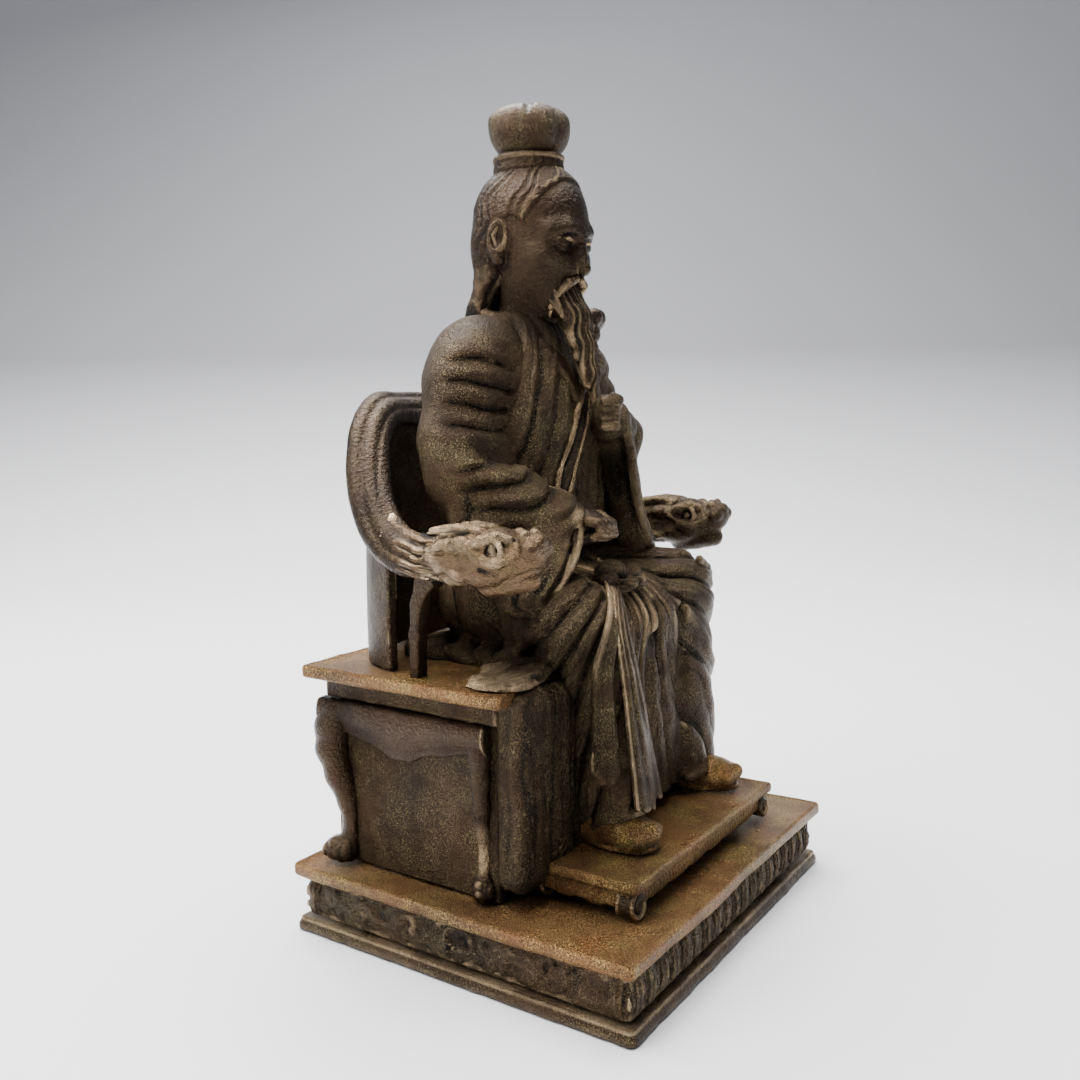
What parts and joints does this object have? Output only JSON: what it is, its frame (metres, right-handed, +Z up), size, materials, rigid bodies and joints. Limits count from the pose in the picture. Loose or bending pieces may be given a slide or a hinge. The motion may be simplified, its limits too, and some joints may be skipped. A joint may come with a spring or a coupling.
{
  "type": "bronze statuette",
  "caption": "Bronze statuette of a bearded seated figure in robes on a horseshoe-back armchair with dragon-head arms, with a footstool and a carved plinth.",
  "frame": {"origin": "centre of the plinth's underside, where the statuette stands", "axes": "+Z up; the figure faces -Y; its right hand is towards -X"},
  "size_m": [0.09, 0.08, 0.1686],
  "materials": {
    "bronze_dark": "dark brown patina with fine cast grain and olive dust in the recesses",
    "bronze_worn": "brown patina rubbed to a satin copper brown on the high points",
    "bronze_golden": "golden brown patina with olive tones and sandy cast grain"
  },
  "bodies": {
    "root": {"plinth_foot": "bronze_dark", "plinth_frieze": "bronze_dark", "plinth_slab": "bronze_golden", "footstool_board": "bronze_golden", "footstool_frame": "bronze_dark", "footstool_feet": "bronze_worn", "seat_front_wall": "bronze_dark", "seat_back_wall": "bronze_dark", "seat_side_wall_right": "bronze_dark", "seat_side_wall_left": "bronze_dark", "seat_apron_right": "bronze_worn", "seat_apron_left": "bronze_worn", "seat_apron_back": "bronze_worn", "leg_front_right": "bronze_worn", "leg_front_left": "bronze_worn", "leg_back_right": "bronze_worn", "leg_back_left": "bronze_worn", "seat_waist": "bronze_dark", "seat_board": "bronze_golden", "back_panel": "bronze_golden", "side_panel_right": "bronze_golden", "side_panel_left": "bronze_golden", "arm_post_right": "bronze_worn", "arm_post_left": "bronze_worn", "rail_back": "bronze_worn", "rail_right": "bronze_worn", "rail_left": "bronze_worn", "dragon_head_right": "bronze_worn", "dragon_head_left": "bronze_worn", "robe_torso": "bronze_dark", "robe_lap": "bronze_dark", "robe_skirt": "bronze_dark", "robe_front_drape": "bronze_dark", "side_drape_right": "bronze_worn", "side_drape_left": "bronze_worn", "sleeve_right": "bronze_dark", "sleeve_left": "bronze_dark", "hand_right": "bronze_worn", "hand_left": "bronze_worn", "collar": "bronze_worn", "belt": "bronze_worn", "lap_knot": "bronze_worn", "sash_end_right": "bronze_worn", "sash_end_left": "bronze_worn", "shoulder_knot": "bronze_worn", "head": "bronze_worn", "hair": "bronze_dark", "topknot": "bronze_worn", "topknot_band": "bronze_dark", "moustache": "bronze_worn", "beard": "bronze_worn", "shoe_right": "bronze_worn", "shoe_left": "bronze_worn"}
  },
  "joints": []
}
